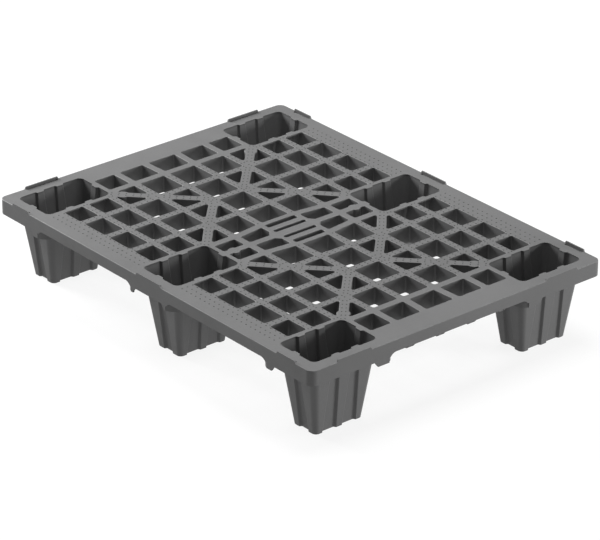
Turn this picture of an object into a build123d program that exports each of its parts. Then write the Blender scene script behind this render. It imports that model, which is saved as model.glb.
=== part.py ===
"""Nestable half-size plastic pallet: an open grid deck on six hollow fluted feet.

Frame: X along the long side, Y along the short side, Z up, origin on the floor under
the middle of the deck. The pallet is mirror-symmetric about X = 0 and Y = 0, so every
section is modelled in the +X +Y quarter and mirrored.
"""

import math
import os

from build123d import *

# Overall size
LENGTH = 800.0
WIDTH = 600.0
HEIGHT = 140.0
LIP_HEIGHT = 4.0
DECK_TOP = HEIGHT - LIP_HEIGHT
HALF_L = LENGTH / 2
HALF_W = WIDTH / 2

# Deck plate
PLATE = 3.0
CORNER_RADIUS = 12.5
EDGE_ROUND = 1.0

# Grid: hollow ribs, made of the thin walls round each open cell
RIB_WIDTH = 12.6
RIB_DEPTH = 30.0
WALL = 2.2
DRAFT = 1.0
CELL_RADIUS = 3.5
CELL_RIM = 0.8
COLUMN_PITCH = 66.0
COLUMNS = [38.0 + COLUMN_PITCH * i for i in range(5)]
ROW_D, ROW_C, ROW_B, ROW_A = 32.0, 94.0, 156.0, 207.7
BORDER_LONG = 251.0
BORDER_SHORT = 352.0
DIAGONAL_WIDTH = 15.5
BRACE_APEX = (170.0, 30.5)
BRACE_MIDDLE = (39.0, 152.0)
BRACE_CORNER = (299.0, 152.5)
HALF_RIB = RIB_WIDTH / 2
MARGIN = 5.0
TOUCH = 0.01

# Hub and spine between the two middle feet
SPINE_HALF = 6.4
HUB_SLOTS = [(9.0, 17.1, 32.9), (29.3, 40.7, 30.7)]
HUB_CELL_START = 50.5
HUB_CELL_HALF = 27.3
SPINE_CELL_START = 40.0
SPINE_CELL_END = 141.3
SPINE_CELL_CHAMFER = (16.0, 48.0)
SPINE_CELL_SLANT = (37.0, 31.5)
BRACE_CELL_START = 50.0

# Openings beside the end columns, the middle feet and the corner feet
END_CELL_MIDDLE = (25.3, 27.4)
END_CELL_SLANT = (38.3, 40.2)
END_CELL_STOP_D = 87.7
END_CELL_STOP_C = 140.6
OUTER_CELL_START = 53.0
OUTER_CELL_END = 285.8
CELL_REACH = 18.0

# Round bosses of solid deck: x, y, radius
SPINE_BOSS = (0.0, 126.0, 10.0)
CORNER_BOSS = (280.5, 135.5, 11.0)

# Feet: centres, mouth and sole (outside, half sizes), flutes pressed into the walls
FOOT_X = 336.2
FOOT_Y = 213.6
FOOT_WALL = 2.5
FOOT_FLOOR = 3.0
MOUTH_CORNER = (44.7, 66.5)
MOUTH_MIDDLE = (47.0, 66.5)
SOLE_CORNER = (27.2, 47.6)
SOLE_MIDDLE = (29.5, 47.6)
MOUTH_RADIUS = 12.5
SOLE_RADIUS = 8.0
FLUTE_RADIUS = 1.5
FLUTE_DEPTH = 4.0
FLUTE_SLOPE = 2.65
FLUTE_SPACING = 39.2
FLUTE_WIDTH_TOP = 14.5
FLUTE_WIDTH_SOLE_X = 27.8
FLUTE_WIDTH_SOLE_Y = 22.0
DRAIN_RADIUS = 6.0

# Skirt round the deck, measured down from the deck top
SKIRT = 3.0
SKIRT_SHALLOW = 20.0
SKIRT_DEEP = 26.0
SKIRT_LUG = 35.0
ARCH_RADIUS = 14.0
MIDDLE_LUG = (33.5, 41.0, 44.5)
CORNER_LUG = (312.0, 305.5, 294.0)
SHORT_LUG = (174.0, 167.0, 144.5)
WEB_RADIUS = 22.0
WEB_MIDDLE = 39.0
WEB_CORNER = 299.0
WEB_SHORT = 152.7
RIB_END_SETBACK = 9.0

# Raised edge lips with a shallow groove behind each
LIP_THICK = 2.2
LIP_SLOPE = 2.0
LIP_CORNER = (317.5, 362.0)
LIP_MIDDLE = 31.0
LIP_SHORT = (180.0, 248.0)
GROOVE_WIDTH = 4.2
GROOVE_DEPTH = 1.8
GROOVE_END = 3.0

# Where the deck is divided into sections: along rib middles and beside the feet
CUT_SPINE = 40.7
CUT_HUB = 45.6
CUT_STRIP = 35.6
CUT_END = COLUMNS[4]
CUT_CLEARANCE = 0.4
CUT_OUTER = FOOT_Y - MOUTH_MIDDLE[1] + MOUTH_RADIUS + CUT_CLEARANCE
CUT_RIM = FOOT_Y + MOUTH_MIDDLE[1] - MOUTH_RADIUS - CUT_CLEARANCE
CUT_MIDDLE = MOUTH_MIDDLE[0]
CUT_CORNER = FOOT_X - MOUTH_CORNER[0]
CUT_SKIRT_MIDDLE = WEB_MIDDLE + WEB_RADIUS
CUT_SKIRT_CORNER = WEB_CORNER - WEB_RADIUS
CUT_SKIRT_SHORT = WEB_SHORT - WEB_RADIUS


def block(x0, x1, y0, y1, z0, z1):
    """Box between two corners."""
    middle = ((x0 + x1) / 2, (y0 + y1) / 2, (z0 + z1) / 2)
    return Pos(*middle) * Box(x1 - x0, y1 - y0, z1 - z0)


def polygon(*points):
    """Flat polygon through the given points, at its true place."""
    return Polygon(*points, align=None)


def cell(x0, x1, y0, y1):
    """Rectangle between two corners, at its true place."""
    return polygon((x0, y0), (x1, y0), (x1, y1), (x0, y1))


# ---------------------------------------------------------------- open cells

def rounded(sketch):
    """The outline of an opening with every corner rounded."""
    return fillet(sketch.vertices(), CELL_RADIUS)


def openings(*sketches):
    """The separate faces of several rounded outlines."""
    return [face for sketch in sketches for face in sketch.faces()]


def column_span(index):
    """Clear width between rib columns index and index + 1."""
    return COLUMNS[index] + HALF_RIB, COLUMNS[index + 1] - HALF_RIB


def diagonal(x0, y0, x1, y1):
    """Band of a diagonal rib through two points."""
    line = Line((x0, y0), (x1, y1))
    band = Rectangle(line.length * 1.5, DIAGONAL_WIDTH)
    return Pos(*line.position_at(0.5)) * Rot(0, 0, line.tangent_angle_at(0)) * band


def disc(x, y, radius):
    return Pos(x, y) * Circle(radius)


def cells_inner():
    """Rows C and D between the spine and the end columns, cut by the cross bracing."""
    row_c = (ROW_C + HALF_RIB, ROW_B - HALF_RIB)
    row_d = (ROW_D + HALF_RIB, ROW_C - HALF_RIB)
    near = (COLUMNS[1], ROW_C)
    far = (COLUMNS[3], ROW_C)
    outer_x = COLUMNS[1] - HALF_RIB
    slanted = polygon((COLUMNS[0] + HALF_RIB, row_d[1]), (BRACE_CELL_START, SPINE_CELL_START),
                      (outer_x, SPINE_CELL_START), (outer_x, row_d[1]))
    return openings(
        rounded(cell(*column_span(1), *row_c)),
        rounded(cell(*column_span(2), *row_c)),
        rounded(cell(*column_span(3), *row_d)),
        rounded(slanted),
        rounded(cell(*column_span(0), *row_c) - diagonal(*near, *BRACE_MIDDLE)),
        rounded(cell(*column_span(1), *row_d) - diagonal(*near, *BRACE_APEX)),
        rounded(cell(*column_span(2), *row_d) - diagonal(*far, *BRACE_APEX)),
        rounded(cell(*column_span(3), *row_c) - diagonal(*far, *BRACE_CORNER)) - disc(*CORNER_BOSS),
    )


def cells_spine():
    """Openings on both sides of the spine, between the hub and a middle foot."""
    upper = cell(SPINE_HALF, COLUMNS[0] - HALF_RIB, ROW_C + HALF_RIB, SPINE_CELL_END)
    upper = rounded(upper) - disc(*SPINE_BOSS)
    row_top = ROW_C - HALF_RIB
    chamfer_x, chamfer_y = SPINE_CELL_CHAMFER
    slant_low, slant_high = SPINE_CELL_SLANT
    lower = rounded(polygon((SPINE_HALF, row_top), (SPINE_HALF, chamfer_y),
                            (chamfer_x, SPINE_CELL_START), (slant_low, SPINE_CELL_START),
                            (slant_high, row_top)))
    return openings(upper, lower, mirror(upper, Plane.YZ), mirror(lower, Plane.YZ))


def cells_hub():
    """Four long slots at the middle of the deck."""
    slots = []
    for inner, outer, half in HUB_SLOTS:
        slots.append(rounded(cell(inner, outer, -half, half)))
        slots.append(rounded(cell(-outer, -inner, -half, half)))
    return openings(*slots)


def cells_strip():
    """Row E, from the hub to an end column."""
    half = ROW_D - HALF_RIB
    edge = COLUMNS[1] - HALF_RIB
    first = polygon((HUB_CELL_START, -HUB_CELL_HALF), (edge, -half), (edge, half),
                    (HUB_CELL_START, HUB_CELL_HALF))
    others = [rounded(cell(*column_span(i), -half, half)) for i in (1, 2, 3)]
    return openings(rounded(first), *others)


def rows_outer():
    """Clear widths of rows B and A."""
    return (ROW_B + HALF_RIB, ROW_A - HALF_RIB), (ROW_A + HALF_RIB, BORDER_LONG)


def cells_outer():
    """Rows A and B between a middle foot and a corner foot, clear of both."""
    return openings(*[rounded(cell(*column_span(i), *row)) for i in (1, 2) for row in rows_outer()])


def cells_beside_feet():
    """Rows A and B next to a middle foot and a corner foot, as pairs for open cells."""
    near = COLUMNS[1] - HALF_RIB
    far = COLUMNS[3] + HALF_RIB
    pairs = []
    for row in rows_outer():
        at_middle = rounded(cell(OUTER_CELL_START, near, *row))
        into_middle = rounded(cell(OUTER_CELL_START - CELL_REACH, near, *row))
        at_corner = rounded(cell(far, OUTER_CELL_END, *row))
        into_corner = rounded(cell(far, OUTER_CELL_END + CELL_REACH, *row))
        pairs.append((at_middle.faces()[0], into_middle.faces()[0]))
        pairs.append((at_corner.faces()[0], into_corner.faces()[0]))
    return pairs


def cells_end():
    """End openings beside the short border, on both sides of X."""
    inner = COLUMNS[4] + HALF_RIB
    edge = BORDER_SHORT
    half_inner, half_edge = END_CELL_MIDDLE
    start_inner, start_edge = END_CELL_SLANT
    middle = polygon((inner, -half_inner), (edge, -half_edge), (edge, half_edge),
                     (inner, half_inner))
    row_d = rounded(polygon((inner, start_inner), (edge, start_edge), (edge, END_CELL_STOP_D),
                            (inner, END_CELL_STOP_D)))
    row_c = rounded(cell(inner, edge, ROW_C + HALF_RIB, END_CELL_STOP_C))
    return openings(rounded(middle), row_d, row_c, mirror(row_d, Plane.XZ), mirror(row_c, Plane.XZ))


# ------------------------------------------------------------------- the deck

def flute(width):
    """Plan of a flute with sloped sides, pressed in from Y = 0 towards -Y."""
    mouth = width / 2
    floor = mouth - FLUTE_SLOPE
    return polygon((-mouth, MARGIN), (-mouth, 0), (-floor, -FLUTE_DEPTH), (floor, -FLUTE_DEPTH),
                   (mouth, 0), (mouth, MARGIN))


def outline_fluted(half_sizes, radius, width_x, width_y, inset):
    """Rounded rectangle with two flutes on each X side and one on each Y side.

    The inset moves every line of the outline inwards by that much.
    """
    half_x = half_sizes[0] - inset
    half_y = half_sizes[1] - inset
    slant = FLUTE_SLOPE / FLUTE_DEPTH
    wider = 2 * inset * (math.hypot(1, slant) - slant)
    plain = RectangleRounded(2 * half_x, 2 * half_y, radius - inset)
    outline = plain
    for side in (0, 180):
        outline -= Rot(0, 0, side) * Pos(0, half_y) * flute(width_y + wider)
    for side in (90, -90):
        for place in (-FLUTE_SPACING / 2, FLUTE_SPACING / 2):
            outline -= Rot(0, 0, side) * Pos(place, half_x) * flute(width_x + wider)
    arc_ends = plain.vertices()
    sharp = [corner for corner in outline.vertices()
             if min(corner.distance_to(end) for end in arc_ends) > TOUCH]
    return fillet(sharp, FLUTE_RADIUS)


def mouth_outline(half_sizes, inset=0.0):
    """A foot in plan where it meets the deck plate."""
    return outline_fluted(half_sizes, MOUTH_RADIUS, FLUTE_WIDTH_TOP, FLUTE_WIDTH_TOP, inset)


def sole_outline(half_sizes, inset=0.0):
    """A foot in plan where it stands on the floor."""
    return outline_fluted(half_sizes, SOLE_RADIUS, FLUTE_WIDTH_SOLE_X, FLUTE_WIDTH_SOLE_Y, inset)


def foot_mouths():
    """Plugs that clear the deck plate round the six feet."""
    plugs = []
    corner = extrude(mouth_outline(MOUTH_CORNER), PLATE + MARGIN)
    middle = extrude(mouth_outline(MOUTH_MIDDLE), PLATE + MARGIN)
    for sign_y in (-1, 1):
        plugs.append(Pos(0, sign_y * FOOT_Y, DECK_TOP - PLATE) * middle)
        for sign_x in (-1, 1):
            plugs.append(Pos(sign_x * FOOT_X, sign_y * FOOT_Y, DECK_TOP - PLATE) * corner)
    return plugs


def grooves():
    """Shallow channel in the plate behind each lip of the +X +Y quarter."""
    z0 = DECK_TOP - GROOVE_DEPTH
    z1 = DECK_TOP + MARGIN
    outer_y = HALF_W - LIP_THICK
    outer_x = HALF_L - LIP_THICK
    middle = LIP_MIDDLE - GROOVE_END
    corner = (LIP_CORNER[0] + GROOVE_END, LIP_CORNER[1] - GROOVE_END)
    short = (LIP_SHORT[0] + GROOVE_END, LIP_SHORT[1] - GROOVE_END)
    return [
        block(*corner, outer_y - GROOVE_WIDTH, outer_y, z0, z1),
        block(-middle, middle, outer_y - GROOVE_WIDTH, outer_y, z0, z1),
        block(outer_x - GROOVE_WIDTH, outer_x, *short, z0, z1),
    ]


def deck_plate():
    """The whole top plate with rounded corners, foot mouths and lip grooves."""
    plate = extrude(RectangleRounded(LENGTH, WIDTH, CORNER_RADIUS), PLATE)
    plate = Pos(0, 0, DECK_TOP - PLATE) * plate
    top = plate.faces().sort_by(Axis.Z)[-1]
    plate = fillet(top.edges(), EDGE_ROUND)
    return plate - foot_mouths() - grooves()


def region(x0, x1, y0, y1):
    """Upright block that claims a part of the deck in plan."""
    return block(x0, x1, y0, y1, DECK_TOP - RIB_DEPTH - MARGIN, DECK_TOP + MARGIN)


def below_plate(solid):
    """The part of a solid under the deck plate."""
    return solid & block(-HALF_L, HALF_L, -HALF_W, HALF_W, 0, DECK_TOP - PLATE)


def section(plate, claim, cells=(), ribs=(), open_cells=(), feet=()):
    """A piece of deck: its share of the plate, the walls of its cells and border ribs.

    An open cell is a pair: its opening in the plate, and its larger outline below, which
    runs into a foot, so that the foot's own wall closes the cell on that side.
    """
    share = plate & claim
    if not cells:
        return share
    walls = []
    holes = []
    for opening, under in [(face, face) for face in cells] + list(open_cells):
        tube = Pos(0, 0, DECK_TOP) * extrude(offset(under, WALL), -RIB_DEPTH, taper=DRAFT)
        walls.append(below_plate(tube))
        holes.append(Pos(0, 0, DECK_TOP) * extrude(opening, -RIB_DEPTH, taper=DRAFT))
        if under is not opening:
            holes.append(below_plate(Pos(0, 0, DECK_TOP) * extrude(under, -RIB_DEPTH, taper=DRAFT)))
    piece = share + walls + list(ribs) - holes - list(feet)
    return rounded_rims(piece)


def rounded_rims(piece):
    """Round the upper edge of every opening in the deck top."""
    top = piece.faces().sort_by(Axis.Z)[-1]
    rims = [edge for wire in top.inner_wires() for edge in wire.edges()]
    return fillet(rims, CELL_RIM)


def border_rib(start, end):
    """Hollow rib under the border, along +X from a cell wall to the skirt."""
    top = DECK_TOP - PLATE
    low = DECK_TOP - RIB_DEPTH
    skirt_low = DECK_TOP - SKIRT_SHALLOW
    knee = end - RIB_END_SETBACK
    side = Plane.XZ * polygon((start, top), (end, top), (end, skirt_low), (knee, low), (start, low))
    wall = extrude(side, WALL)
    outer = Pos(0, HALF_RIB, 0) * wall
    inner = Pos(0, WALL - HALF_RIB, 0) * wall
    cap = block(knee - WALL, knee, -HALF_RIB, HALF_RIB, low, top)
    return outer + inner + cap


def ribs_outer():
    """Border ribs of the long side that carry the three rib columns to the skirt."""
    rib = border_rib(BORDER_LONG + WALL / 2, HALF_W - SKIRT)
    return [Rot(0, 0, 90) * Pos(0, -column, 0) * rib for column in COLUMNS[1:4]]


def ribs_end():
    """Border ribs of the short side that carry the four rib rows to the skirt."""
    rib = border_rib(BORDER_SHORT + WALL / 2, HALF_L - SKIRT)
    return [Pos(0, row, 0) * rib for row in (-ROW_C, -ROW_D, ROW_D, ROW_C)]


# ------------------------------------------------------------------ the skirt

def skirt_relief(span, lugs, half_length):
    """Area under the skirt's lower edge, seen square on: deep parts, arch and lugs."""
    floor = -SKIRT_LUG - MARGIN
    end = half_length + MARGIN
    arch = cell(*span, floor, -SKIRT_SHALLOW)
    arch = fillet(arch.vertices().sort_by(Axis.Y)[-2:], ARCH_RADIUS)
    relief = cell(-end, end, floor, -SKIRT_DEEP) + arch
    for start, slope_end, stop in lugs:
        relief -= polygon((start, -SKIRT_DEEP), (slope_end, -SKIRT_LUG), (stop, -SKIRT_LUG),
                          (stop, -SKIRT_DEEP))
    return relief


def skirt_quarter():
    """Skirt of the +X +Y quarter with its lower edge cut to shape."""
    plan = RectangleRounded(LENGTH, WIDTH, CORNER_RADIUS)
    plan -= RectangleRounded(LENGTH - 2 * SKIRT, WIDTH - 2 * SKIRT, CORNER_RADIUS - SKIRT)
    ring = Pos(0, 0, DECK_TOP - SKIRT_LUG) * extrude(plan, SKIRT_LUG - PLATE)
    ring &= region(0, HALF_L, 0, HALF_W)
    long_plane = Plane((0, HALF_W + MARGIN, DECK_TOP), x_dir=(1, 0, 0), z_dir=(0, -1, 0))
    long_relief = skirt_relief((MIDDLE_LUG[2], CORNER_LUG[2]), (MIDDLE_LUG, CORNER_LUG), HALF_L)
    short_plane = Plane((HALF_L + MARGIN, 0, DECK_TOP), x_dir=(0, 1, 0), z_dir=(1, 0, 0))
    short_relief = skirt_relief((-SHORT_LUG[2], SHORT_LUG[2]), (SHORT_LUG,), HALF_W)
    depth = MARGIN + CORNER_RADIUS
    ring -= extrude(long_plane * long_relief, depth)
    ring -= extrude(short_plane * short_relief, -depth)
    return ring


def web(x_centre, y_centre, turn, straight):
    """Curved wall that turns inwards from a lug, then runs straight to a cell wall."""
    ring = Circle(WEB_RADIUS) - Circle(WEB_RADIUS - SKIRT)
    quarter = Rot(0, 0, turn) * cell(0, 2 * WEB_RADIUS, 0, 2 * WEB_RADIUS)
    plan = Pos(x_centre, y_centre) * (ring & quarter) + straight
    return Pos(0, 0, DECK_TOP - SKIRT_LUG) * extrude(plan, SKIRT_LUG - PLATE)


def skirt_middle(quarter):
    """Skirt outside a middle foot, with a lug and a web on each side."""
    centre_y = HALF_W - WEB_RADIUS
    run = cell(CUT_SKIRT_MIDDLE - SKIRT, CUT_SKIRT_MIDDLE, BORDER_LONG + WALL, centre_y)
    half = quarter & region(0, CUT_SKIRT_MIDDLE, 0, HALF_W)
    half += web(WEB_MIDDLE, centre_y, 0, run)
    return half + mirror(half, Plane.YZ)


def skirt_corner(quarter):
    """Skirt round a corner foot, with a lug and a web at both ends."""
    centre_y = HALF_W - WEB_RADIUS
    centre_x = HALF_L - WEB_RADIUS
    run_y = cell(CUT_SKIRT_CORNER, CUT_SKIRT_CORNER + SKIRT, BORDER_LONG + WALL, centre_y)
    run_x = cell(BORDER_SHORT + WALL, centre_x, CUT_SKIRT_SHORT, CUT_SKIRT_SHORT + SKIRT)
    bend = quarter & region(CUT_SKIRT_CORNER, HALF_L, CUT_SKIRT_SHORT, HALF_W)
    return bend + web(WEB_CORNER, centre_y, 90, run_y) + web(centre_x, WEB_SHORT, -90, run_x)


def skirt_short(quarter):
    """Shallow skirt of a short side between the corner pieces."""
    half = quarter & region(0, HALF_L, 0, CUT_SKIRT_SHORT)
    return half + mirror(half, Plane.XZ)


# ------------------------------------------------------------- feet and lips

def foot_outside(mouth_sizes, sole_sizes):
    """A foot without its hollow."""
    mouth = mouth_outline(mouth_sizes)
    shoulder = DECK_TOP - PLATE
    outside = loft([sole_outline(sole_sizes), Pos(0, 0, shoulder) * mouth])
    return outside + Pos(0, 0, shoulder) * extrude(mouth, PLATE)


def foot(mouth_sizes, sole_sizes):
    """Hollow tapered foot, open at the deck and closed by a thin drained floor."""
    shoulder = DECK_TOP - PLATE
    outside = foot_outside(mouth_sizes, sole_sizes)
    mouth_inside = mouth_outline(mouth_sizes, FOOT_WALL)
    sole_inside = sole_outline(sole_sizes, FOOT_WALL)
    inside = loft([Pos(0, 0, FOOT_FLOOR) * sole_inside, Pos(0, 0, shoulder) * mouth_inside])
    inside += Pos(0, 0, shoulder) * extrude(mouth_inside, PLATE + MARGIN)
    return outside - inside - Cylinder(DRAIN_RADIUS, 4 * FOOT_FLOOR)


def lip(start, end):
    """Raised strip along +X at the outer edge, with sloped ends; its outer face at Y = 0."""
    root = -EDGE_ROUND
    side = polygon((start, root), (end, root), (end, 0), (end - LIP_SLOPE, LIP_HEIGHT),
                   (start + LIP_SLOPE, LIP_HEIGHT), (start, 0))
    return Pos(0, 0, DECK_TOP) * extrude(Plane.XZ * side, LIP_THICK)


# --------------------------------------------------------------- the assembly

def mirrored(name, solid, across_x, across_y):
    """The solid under its name and its mirror images under front/back and left/right."""
    copies = {(1, 1): solid}
    if across_x:
        copies[(-1, 1)] = mirror(solid, Plane.YZ)
    if across_y:
        for side, copy in list(copies.items()):
            copies[(side[0], -1)] = mirror(copy, Plane.XZ)
    named = {}
    for (side_x, side_y), copy in copies.items():
        label = name
        if across_y:
            label += "_back" if side_y > 0 else "_front"
        if across_x:
            label += "_right" if side_x > 0 else "_left"
        named[label] = copy
    return named


def deck_nodes(plate):
    """All sections of the deck."""
    rim_middle = region(-CUT_MIDDLE, CUT_MIDDLE, CUT_RIM, HALF_W)
    rim_corner = region(CUT_CORNER, HALF_L, CUT_RIM, HALF_W)
    rim_corner += region(FOOT_X, HALF_L, CUT_OUTER, HALF_W)
    outer = region(0, FOOT_X, CUT_OUTER, HALF_W) - rim_middle - rim_corner
    inner = region(CUT_SPINE, CUT_END, CUT_STRIP, CUT_OUTER)
    strip = region(CUT_HUB, CUT_END, -CUT_STRIP, CUT_STRIP)
    end = region(CUT_END, HALF_L, -CUT_OUTER, CUT_OUTER)
    hub = region(-CUT_HUB, CUT_HUB, -CUT_STRIP, CUT_STRIP)
    spine = region(-CUT_SPINE, CUT_SPINE, CUT_STRIP, CUT_OUTER)
    feet = [Pos(0, FOOT_Y) * foot_outside(MOUTH_MIDDLE, SOLE_MIDDLE),
            Pos(FOOT_X, FOOT_Y) * foot_outside(MOUTH_CORNER, SOLE_CORNER)]
    nodes = {"deck_hub": section(plate, hub, cells_hub())}
    parts = [
        ("deck_spine", section(plate, spine, cells_spine()), False, True),
        ("deck_strip", section(plate, strip, cells_strip()), True, False),
        ("deck_inner", section(plate, inner, cells_inner()), True, True),
        ("deck_outer", section(plate, outer, cells_outer(), ribs_outer(), cells_beside_feet(), feet),
         True, True),
        ("deck_end", section(plate, end, cells_end(), ribs_end()), True, False),
        ("deck_rim_middle", section(plate, rim_middle), False, True),
        ("deck_rim_corner", section(plate, rim_corner), True, True),
    ]
    for name, solid, across_x, across_y in parts:
        nodes.update(mirrored(name, solid, across_x, across_y))
    return nodes


def skirt_nodes():
    """All pieces of the skirt."""
    quarter = skirt_quarter()
    long_span = quarter & region(CUT_SKIRT_MIDDLE, CUT_SKIRT_CORNER, 0, HALF_W)
    nodes = mirrored("skirt_middle", skirt_middle(quarter), False, True)
    nodes.update(mirrored("skirt_corner", skirt_corner(quarter), True, True))
    nodes.update(mirrored("skirt_long", long_span, True, True))
    nodes.update(mirrored("skirt_short", skirt_short(quarter), True, False))
    return nodes


def foot_nodes():
    """The six feet."""
    middle = Pos(0, FOOT_Y) * foot(MOUTH_MIDDLE, SOLE_MIDDLE)
    corner = Pos(FOOT_X, FOOT_Y) * foot(MOUTH_CORNER, SOLE_CORNER)
    nodes = mirrored("foot_middle", middle, False, True)
    nodes.update(mirrored("foot_corner", corner, True, True))
    return nodes


def lip_nodes(plate):
    """The ten raised edge lips."""
    middle = Pos(0, HALF_W) * lip(-LIP_MIDDLE, LIP_MIDDLE) - plate
    corner = Pos(0, HALF_W) * lip(*LIP_CORNER) - plate
    short = Pos(HALF_L, 0) * Rot(0, 0, -90) * lip(-LIP_SHORT[1], -LIP_SHORT[0]) - plate
    nodes = mirrored("lip_middle", middle, False, True)
    nodes.update(mirrored("lip_long", corner, True, True))
    nodes.update(mirrored("lip_short", short, True, True))
    return nodes


def main():
    os.makedirs("parts", exist_ok=True)
    plate = deck_plate()
    nodes = deck_nodes(plate)
    nodes.update(skirt_nodes())
    nodes.update(foot_nodes())
    nodes.update(lip_nodes(plate))
    for name, solid in nodes.items():
        export_step(solid, f"parts/{name}.step")


if __name__ == "__main__":
    main()
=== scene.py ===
"""Nestable plastic pallet in dark grey moulded plastic, on a pale studio floor.

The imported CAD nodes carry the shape. This script gives them their plastic, adds the
anti-slip dots, and sets the studio, the lights and the camera. Metres throughout.
"""

import math

import bmesh
import bpy
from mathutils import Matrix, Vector
from mathutils.bvhtree import BVHTree


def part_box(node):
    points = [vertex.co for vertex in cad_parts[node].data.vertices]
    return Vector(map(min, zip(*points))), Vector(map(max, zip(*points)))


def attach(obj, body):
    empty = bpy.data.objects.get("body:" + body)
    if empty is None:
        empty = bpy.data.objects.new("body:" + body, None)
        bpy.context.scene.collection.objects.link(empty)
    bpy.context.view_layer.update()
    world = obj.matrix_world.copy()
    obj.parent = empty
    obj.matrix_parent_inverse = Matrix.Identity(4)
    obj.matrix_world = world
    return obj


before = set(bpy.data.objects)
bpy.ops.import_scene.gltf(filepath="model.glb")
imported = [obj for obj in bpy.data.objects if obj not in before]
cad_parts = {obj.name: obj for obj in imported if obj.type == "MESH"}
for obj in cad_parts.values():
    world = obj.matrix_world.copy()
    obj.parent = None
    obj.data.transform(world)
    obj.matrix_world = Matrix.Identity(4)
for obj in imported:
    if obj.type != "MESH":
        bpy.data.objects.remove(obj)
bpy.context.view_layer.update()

# ------------------------------------------------------------------ measurements

DECK_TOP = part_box("deck_hub")[1].z

# Camera: heading, angle of view downwards, place and lens
CAMERA_AZIMUTH = math.radians(50.283)
CAMERA_ELEVATION = math.radians(26.265)
CAMERA_PLACE = Vector((4.19857, -3.47736, 2.75109))
SENSOR_WIDTH = 36.0
CAMERA_LENS = 224.8
CAMERA_REACH = 100.0

# Tones of the plastic, linear
PLASTIC_TONE = 0.080
PLASTIC_SPECULAR = 0.25
STUD_TONE = 0.012
PLASTIC_TINT = (1.0, 1.0, 1.005)

# Surface of the plastic: noise scales per metre, and the values each noise spreads over
NOISE_RANGE = (0.3, 0.7)
CLOUD_SCALE = 5.0
CLOUD_GAIN = (0.94, 1.06)
GRAIN_SCALE = 900.0
GRAIN_GAIN = (0.95, 1.05)
GRAIN_BUMP = 0.12
GRAIN_DEPTH = 0.0002
SCUFF_SCALE = 38.0
ROUGHNESS = (0.42, 0.56)

# Painted highlight on the rounded edges, broken into rubbed patches: upward part of the normal
# where they start and end, patches, and gain
HIGHLIGHT_RUB_START = (0.30, 0.50)
HIGHLIGHT_RUB_END = (0.90, 0.98)
HIGHLIGHT_RUB_PATCHES = (0.35, 0.60)
HIGHLIGHT_RUB_LEAST = 0.4
HIGHLIGHT_RUB_GAIN = 1.35

# Ribs and braces of the deck's +X +Y quarter, as middle lines that carry studs
RIB_COLUMNS = (0.104, 0.170, 0.236)
RIB_ROWS = (0.032, 0.094, 0.156, 0.2077)
ROW_SPAN = (0.046, 0.292)
BRACES = (((0.104, 0.094), (0.170, 0.0305)), ((0.236, 0.094), (0.170, 0.0305)),
          ((0.104, 0.094), (0.039, 0.152)), ((0.236, 0.094), (0.299, 0.1525)))
BORDER_ROWS = (0.254, 0.2645, 0.275)
BORDER_SPAN = (0.050, 0.288)

# Studio lights: name, place, size, watts
WORLD_STRENGTH = 0.25
LIGHTS = (("key", (-0.1, 0.5, 2.8), 1.4, 128.0),
          ("left", (-2.2, -0.60, 1.0), 0.8, 120.0),
          ("side", (2.4, 2.4, 0.30), 1.2, 150.0))
LIGHT_TARGET = (0, 0, 0.1)

# Studio floor
FLOOR_SIZE = 40.0
FLOOR_ROUGHNESS = 0.9
FLOOR_TONE = 0.05
FLOOR_GLOW = 0.88

# Anti-slip studs
STUD_RADIUS = 0.0013
STUD_TOP_RADIUS = 0.0010
STUD_HEIGHT = 0.0003
STUD_SIDES = 10
STUD_SPACING = 0.0113
STUD_INSET = 0.0033
STUD_CLEARANCE = 0.0055
STUD_RIM = 0.0008


# --------------------------------------------------------------------- materials

class Nodes:
    """Short way to add and link nodes in a material."""

    def __init__(self, name):
        self.material = bpy.data.materials.new(name)
        self.material.use_nodes = True
        self.tree = self.material.node_tree
        self.tree.nodes.clear()
        output = self.tree.nodes.new("ShaderNodeOutputMaterial")
        self.shader = self.tree.nodes.new("ShaderNodeBsdfPrincipled")
        self.link(self.shader, "BSDF", output, "Surface")

    def add(self, kind, **settings):
        """A new node with the given sockets or properties set."""
        node = self.tree.nodes.new(kind)
        for key, value in settings.items():
            if key in node.inputs:
                node.inputs[key].default_value = value
            else:
                setattr(node, key, value)
        return node

    def link(self, source, output, target, socket):
        self.tree.links.new(source.outputs[output], target.inputs[socket])

    def place(self):
        """Coordinates of the surface in the row frame, the same across all nodes."""
        return self.add("ShaderNodeTexCoord")

    def noise(self, scale, detail, roughness=0.5):
        noise = self.add("ShaderNodeTexNoise", Scale=scale, Detail=detail, Roughness=roughness)
        self.link(self.place(), "Object", noise, "Vector")
        return noise

    def remap(self, source, output, low, high, to_low, to_high):
        """A value from low..high spread over to_low..to_high."""
        node = self.add("ShaderNodeMapRange")
        node.inputs["From Min"].default_value = low
        node.inputs["From Max"].default_value = high
        node.inputs["To Min"].default_value = to_low
        node.inputs["To Max"].default_value = to_high
        self.link(source, output, node, "Value")
        return node

    def math(self, operation, first, second):
        """first and second are (node, output) pairs or numbers."""
        node = self.add("ShaderNodeMath", operation=operation)
        for socket, value in zip(node.inputs, (first, second)):
            if isinstance(value, tuple):
                self.tree.links.new(value[0].outputs[value[1]], socket)
            else:
                socket.default_value = value
        return node


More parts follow.
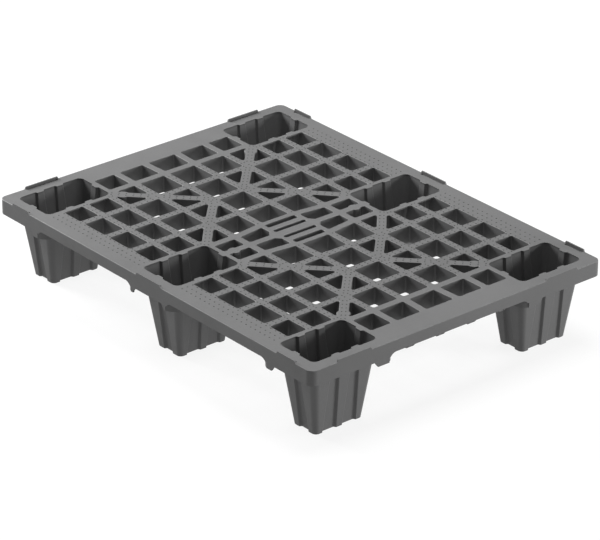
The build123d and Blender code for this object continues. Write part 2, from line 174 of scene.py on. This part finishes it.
def plastic(name, tone):
    """Moulded polyolefin: fine grain, faint flow clouds, scuffs, and rounded upper edges
    lightened as a painted highlight in rubbed patches.
    """
    m = Nodes(name)
    clouds = m.noise(CLOUD_SCALE, 4.0)
    grain = m.noise(GRAIN_SCALE, 3.0, 0.6)
    scuffs = m.noise(SCUFF_SCALE, 6.0, 0.65)
    cloud_gain = m.remap(clouds, "Fac", *NOISE_RANGE, *CLOUD_GAIN)
    grain_gain = m.remap(grain, "Fac", *NOISE_RANGE, *GRAIN_GAIN)
    value = m.math("MULTIPLY", (cloud_gain, "Result"), (grain_gain, "Result"))
    # painted highlight: the rounded edges are lightened, broken into rubbed patches
    highlight_rub = edge_highlight_and_rub(m, scuffs)
    highlight_rub_gain = m.remap(highlight_rub, "Value", 0.0, 1.0, 1.0, HIGHLIGHT_RUB_GAIN)
    value = m.math("MULTIPLY", (value, "Value"), (highlight_rub_gain, "Result"))
    value = m.math("MULTIPLY", (value, "Value"), tone)
    colour = m.add("ShaderNodeCombineColor")
    for channel, tint in zip(("Red", "Green", "Blue"), PLASTIC_TINT):
        part = m.math("MULTIPLY", (value, "Value"), tint)
        m.link(part, "Value", colour, channel)
    m.link(colour, "Color", m.shader, "Base Color")
    rough = m.remap(scuffs, "Fac", *NOISE_RANGE, *ROUGHNESS)
    m.link(rough, "Result", m.shader, "Roughness")
    m.shader.inputs["Specular IOR Level"].default_value = PLASTIC_SPECULAR
    bump = m.add("ShaderNodeBump", Strength=GRAIN_BUMP, Distance=GRAIN_DEPTH)
    m.link(grain, "Fac", bump, "Height")
    m.link(bump, "Normal", m.shader, "Normal")
    return m.material


def edge_highlight_and_rub(m, scuffs):
    """Painted highlight in rubbed patches: 1 on the rounded edges, where the surface turns
    between level and upright.
    """
    coordinates = m.place()
    split = m.add("ShaderNodeSeparateXYZ")
    m.link(coordinates, "Normal", split, "Vector")
    above_wall = m.remap(split, "Z", *HIGHLIGHT_RUB_START, 0.0, 1.0)
    below_flat = m.remap(split, "Z", *HIGHLIGHT_RUB_END, 1.0, 0.0)
    edge = m.math("MULTIPLY", (above_wall, "Result"), (below_flat, "Result"))
    patches = m.remap(scuffs, "Fac", *HIGHLIGHT_RUB_PATCHES, HIGHLIGHT_RUB_LEAST, 1.0)
    return m.math("MULTIPLY", (edge, "Value"), (patches, "Result"))


def floor_material():
    """Pale studio floor that glows faintly, as one lit from below does."""
    m = Nodes("studio_floor")
    m.shader.inputs["Base Color"].default_value = (FLOOR_TONE, FLOOR_TONE, FLOOR_TONE, 1.0)
    m.shader.inputs["Roughness"].default_value = FLOOR_ROUGHNESS
    m.shader.inputs["Emission Color"].default_value = (1.0, 1.0, 1.0, 1.0)
    m.shader.inputs["Emission Strength"].default_value = FLOOR_GLOW
    return m.material


# ------------------------------------------------------------------------ pieces

def dress_nodes():
    """Every CAD node gets the plastic of its group."""
    materials = {
        "deck": plastic("deck_plastic", PLASTIC_TONE),
        "skirt": plastic("skirt_plastic", PLASTIC_TONE),
        "foot": plastic("foot_plastic", PLASTIC_TONE),
        "lip": plastic("lip_plastic", PLASTIC_TONE),
    }
    for name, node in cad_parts.items():
        node.data.materials.clear()
        node.data.materials.append(materials[name.split("_")[0]])


def along(start, end, offset):
    """Evenly spaced points beside the line from start to end."""
    start, end = Vector(start), Vector(end)
    run = end - start
    count = int(run.length / STUD_SPACING)
    side = Vector((-run.y, run.x)).normalized() * offset
    return [start + run * ((i + 0.5) / count) + side for i in range(count)]


def stud_rows():
    """Candidate stud places of the +X +Y quarter."""
    lines = [((x, 0.0), (x, BORDER_ROWS[0])) for x in RIB_COLUMNS]
    lines += [((ROW_SPAN[0], y), (ROW_SPAN[1], y)) for y in RIB_ROWS]
    lines += BRACES
    places = []
    for y in BORDER_ROWS:
        places += along((BORDER_SPAN[0], y), (BORDER_SPAN[1], y), 0.0)
    for start, end in lines:
        for offset in (-STUD_INSET, STUD_INSET):
            places += along(start, end, offset)
    return places


def deck_surfaces():
    """Search trees of the CAD deck sections."""
    graph = bpy.context.evaluated_depsgraph_get()
    return [BVHTree.FromObject(node, graph) for name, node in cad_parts.items()
            if name.startswith("deck_")]


def on_deck(place, surfaces):
    """True if the whole stud stands on the flat deck top."""
    reach = STUD_RADIUS + STUD_RIM
    for dx, dy in ((reach, 0), (-reach, 0), (0, reach), (0, -reach)):
        start = Vector((place.x + dx, place.y + dy, DECK_TOP + STUD_RADIUS))
        hits = [tree.ray_cast(start, Vector((0, 0, -1)), 2 * STUD_RADIUS)[0] for tree in surfaces]
        if not any(hit and abs(hit.z - DECK_TOP) < STUD_HEIGHT / 2 for hit in hits):
            return False
    return True


def stud_places():
    """Stud places on all four quarters, none on top of another."""
    surfaces = deck_surfaces()
    chosen = []
    for place in stud_rows():
        clear = all((place - other).length > STUD_CLEARANCE for other in chosen)
        if clear and on_deck(place, surfaces):
            chosen.append(place)
    return [Vector((place.x * sx, place.y * sy)) for place in chosen
            for sx in (1, -1) for sy in (1, -1)]


def studs():
    """Small raised studs on the ribs, braces and long borders, as one piece."""
    mesh = bmesh.new()
    for place in stud_places():
        rings = []
        for radius, z in ((STUD_RADIUS, 0.0), (STUD_TOP_RADIUS, STUD_HEIGHT)):
            ring = []
            for i in range(STUD_SIDES):
                angle = 2 * math.pi * i / STUD_SIDES
                ring.append(mesh.verts.new((place.x + radius * math.cos(angle),
                                            place.y + radius * math.sin(angle), DECK_TOP + z)))
            rings.append(ring)
        for i in range(STUD_SIDES):
            j = (i + 1) % STUD_SIDES
            mesh.faces.new((rings[0][i], rings[0][j], rings[1][j], rings[1][i]))
        mesh.faces.new(rings[1])
        mesh.faces.new(rings[0][::-1])
    data = bpy.data.meshes.new("anti_slip_studs")
    mesh.to_mesh(data)
    mesh.free()
    piece = bpy.data.objects.new("anti_slip_studs", data)
    bpy.context.scene.collection.objects.link(piece)
    piece.data.materials.append(plastic("stud_plastic", STUD_TONE))
    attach(piece, "root")


# ------------------------------------------------------------------------ studio

def floor():
    bpy.ops.mesh.primitive_plane_add(size=FLOOR_SIZE, location=(0, 0, 0))
    plane = bpy.context.object
    plane.name = "studio_floor"
    plane.data.materials.append(floor_material())


def area_light(name, place, target, size, power):
    light = bpy.data.lights.new(name, "AREA")
    light.energy = power
    light.size = size
    lamp = bpy.data.objects.new(name, light)
    lamp.location = place
    lamp.rotation_euler = (Vector(target) - Vector(place)).to_track_quat("-Z", "Y").to_euler()
    bpy.context.scene.collection.objects.link(lamp)


def lights():
    world = bpy.data.worlds.new("studio")
    world.use_nodes = True
    background = world.node_tree.nodes["Background"]
    background.inputs["Color"].default_value = (1.0, 1.0, 1.0, 1.0)
    background.inputs["Strength"].default_value = WORLD_STRENGTH
    bpy.context.scene.world = world
    bpy.context.scene.view_settings.view_transform = "Standard"
    for name, place, size, power in LIGHTS:
        area_light(name, place, LIGHT_TARGET, size, power)


def camera():
    data = bpy.data.cameras.new("camera")
    data.sensor_width = SENSOR_WIDTH
    data.lens = CAMERA_LENS
    data.clip_end = CAMERA_REACH
    eye = bpy.data.objects.new("camera", data)
    eye.location = CAMERA_PLACE
    level = math.cos(CAMERA_ELEVATION)
    look = Vector((-math.sin(CAMERA_AZIMUTH) * level, math.cos(CAMERA_AZIMUTH) * level,
                   -math.sin(CAMERA_ELEVATION)))
    eye.rotation_euler = look.to_track_quat("-Z", "Y").to_euler()
    bpy.context.scene.collection.objects.link(eye)
    bpy.context.scene.camera = eye


dress_nodes()
studs()
floor()
lights()
camera()
